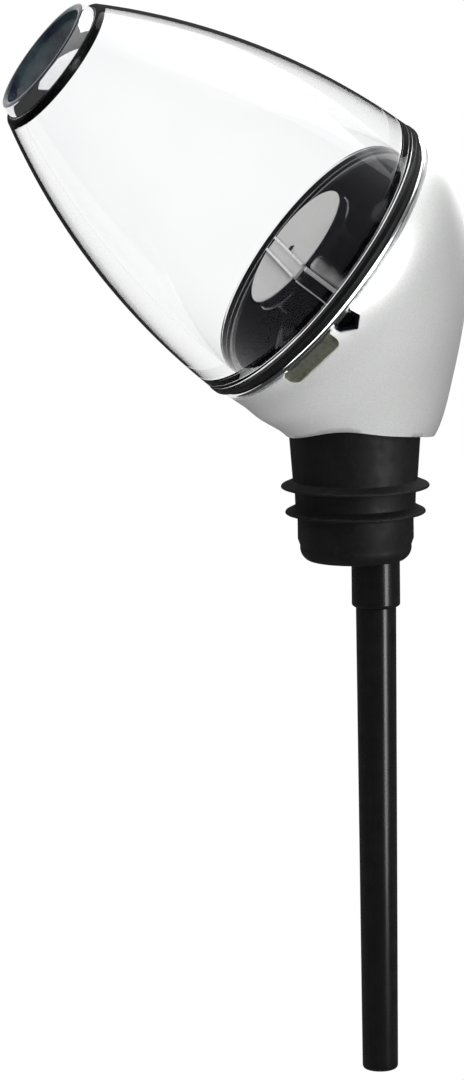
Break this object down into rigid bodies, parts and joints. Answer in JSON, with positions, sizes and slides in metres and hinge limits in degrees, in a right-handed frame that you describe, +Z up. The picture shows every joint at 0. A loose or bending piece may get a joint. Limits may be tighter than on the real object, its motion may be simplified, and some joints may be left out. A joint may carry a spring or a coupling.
{
  "type": "bottle-top wine aerating pourer",
  "caption": "Bottle-top aerating pourer: finned stopper, long offset air tube and a tilted silver and clear head with a domed core and an open pouring mouth.",
  "frame": {"origin": "on the stopper's axis, level with the lowest edge of the silver head, where the stopper starts below it", "axes": "+Z up along the stopper's axis, away from the bottle; the head pours towards -X; Y is across the head, which is alike on both sides but for the air inlet and the vent on -Y"},
  "size_m": [0.0689, 0.0486, 0.1629],
  "materials": {
    "clear_plastic": "clear, polished",
    "chrome": "mirror",
    "silver_satin": "satin silver paint",
    "black_gloss": "gloss",
    "grey_satin": "satin",
    "olive_matte": "matte",
    "black_tube": "gloss",
    "black_rubber": "matte"
  },
  "bodies": {
    "stopper": {"stopper": "black_rubber"},
    "head": {"rear_shell": "silver_satin", "inner_cup": "black_gloss", "turret": "black_gloss", "diffuser_disc": "grey_satin", "duct_cover": "grey_satin", "air_duct": "black_gloss", "air_port_bush": "black_gloss", "vent_insert": "olive_matte", "trim_ring": "chrome", "rim_gasket": "black_rubber", "chamber_seal": "black_rubber", "neck_elbow": "black_gloss", "neck_gasket": "black_rubber", "neck_spigot": "black_gloss", "tube_socket": "black_tube"},
    "chamber": {"clear_chamber": "clear_plastic", "mouth_ring": "chrome"},
    "tube": {"air_tube": "black_tube"}
  },
  "joints": [
    {"name": "head_lift", "type": "slide", "parent": "stopper", "child": "head", "axis": [0, 0, 1], "range_m": [0, 0.1]},
    {"name": "chamber_pull", "type": "slide", "parent": "head", "child": "chamber", "axis": [-0.7904, 0, 0.6126], "range_m": [0, 0.02]},
    {"name": "tube_pull", "type": "slide", "parent": "head", "child": "tube", "axis": [0, 0, -1], "range_m": [0, 0.01]}
  ]
}
